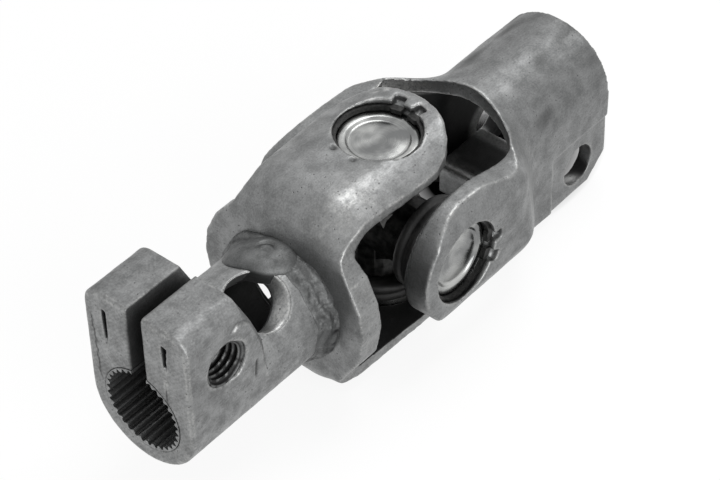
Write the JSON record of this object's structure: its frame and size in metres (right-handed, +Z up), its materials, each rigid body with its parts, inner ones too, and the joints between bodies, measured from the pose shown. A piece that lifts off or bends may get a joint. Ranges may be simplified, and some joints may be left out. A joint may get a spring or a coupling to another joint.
{
  "type": "steering shaft universal joint",
  "caption": "Steering column universal joint: a clamp hub with a splined bore welded to a bent yoke, a cross on needle bearings, and a yoke that draws in to an open channel.",
  "frame": {"origin": "middle of the part's box in X and Y, on the surface that its lower ear rests on", "axes": "+X along the shaft from the clamp hub to the channel end, +Z up out of the clamp slot and the upper ear"},
  "size_m": [0.1128, 0.04, 0.0421],
  "materials": {
    "hub_steel": "phosphated, lightly blasted, matte",
    "weld_metal": "as welded, dull",
    "yoke_steel": "phosphated and oiled, satin",
    "ground_steel": "ground, bright",
    "spring_steel": "dark spring temper",
    "seal_rubber": "matte"
  },
  "bodies": {
    "hub_side": {"clamp_hub": "hub_steel", "weld_bead": "weld_metal", "hub_yoke": "yoke_steel", "bearing_cup_top": "ground_steel", "bearing_cup_bottom": "ground_steel", "needle_set_top": "ground_steel", "needle_set_bottom": "ground_steel", "snap_ring_top": "spring_steel", "snap_ring_bottom": "spring_steel"},
    "cross_body": {"cross": "ground_steel", "seal_top": "seal_rubber", "seal_bottom": "seal_rubber", "seal_near": "seal_rubber", "seal_far": "seal_rubber"},
    "channel_side": {"channel_yoke": "yoke_steel", "bearing_cup_near": "ground_steel", "bearing_cup_far": "ground_steel", "needle_set_near": "ground_steel", "needle_set_far": "ground_steel", "snap_ring_near": "spring_steel", "snap_ring_far": "spring_steel"}
  },
  "joints": [
    {"name": "hub_trunnion_hinge", "type": "hinge", "parent": "hub_side", "child": "cross_body", "pos_m": [0.00455, 0, 0.02], "axis": [0, 0, 1], "range_deg": [-30, 30]},
    {"name": "channel_trunnion_hinge", "type": "hinge", "parent": "cross_body", "child": "channel_side", "pos_m": [0.00455, 0, 0.02], "axis": [0, 1, 0], "range_deg": [-30, 30]}
  ]
}
